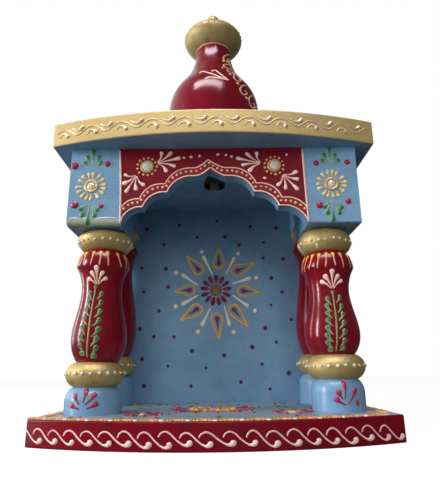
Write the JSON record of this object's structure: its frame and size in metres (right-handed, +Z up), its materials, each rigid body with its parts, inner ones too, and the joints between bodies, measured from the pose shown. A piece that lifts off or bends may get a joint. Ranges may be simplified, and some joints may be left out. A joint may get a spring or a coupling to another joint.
{
  "type": "pooja mandir",
  "caption": "Small painted wooden home shrine: bow-fronted boards, turned posts, cusped arch panel, back wall, bell dome and turned finial.",
  "frame": {"origin": "Middle of the bounding box in X and Y, at the underside of the base board.", "axes": "+Z up; the open front faces -Y; +X to the right for someone facing the shrine."},
  "size_m": [0.257, 0.197, 0.4209],
  "materials": {
    "blue_enamel": "glossy sky-blue enamel on wood",
    "red_enamel": "glossy deep-red enamel on wood",
    "gold_paint": "satin gold metallic paint on wood",
    "mirror_glass": "small round mirror gem",
    "screw_steel": "dull zinc-plated screw"
  },
  "bodies": {
    "root": {"arch_panel": "red_enamel", "back_wall": "blue_enamel", "base_slab": "red_enamel", "dome": "red_enamel", "dome_screw": "screw_steel", "finial": "gold_paint", "front_left_foot": "blue_enamel", "front_left_lower_ring": "gold_paint", "front_left_post_body": "red_enamel", "front_left_upper_ring": "gold_paint", "front_right_foot": "blue_enamel", "front_right_lower_ring": "gold_paint", "front_right_post_body": "red_enamel", "front_right_upper_ring": "gold_paint", "left_block_gem": "mirror_glass", "left_front_block": "blue_enamel", "left_panel_gem": "mirror_glass", "middle_floor_gem": "mirror_glass", "rear_left_cap": "blue_enamel", "rear_left_foot": "blue_enamel", "rear_left_lower_ring": "gold_paint", "rear_left_post_body": "red_enamel", "rear_left_upper_ring": "gold_paint", "rear_right_cap": "blue_enamel", "rear_right_foot": "blue_enamel", "rear_right_lower_ring": "gold_paint", "rear_right_post_body": "red_enamel", "rear_right_upper_ring": "gold_paint", "right_block_gem": "mirror_glass", "right_floor_gem": "mirror_glass", "right_front_block": "blue_enamel", "right_panel_gem": "mirror_glass", "roof_slab": "gold_paint", "wall_gem": "mirror_glass"}
  },
  "joints": []
}
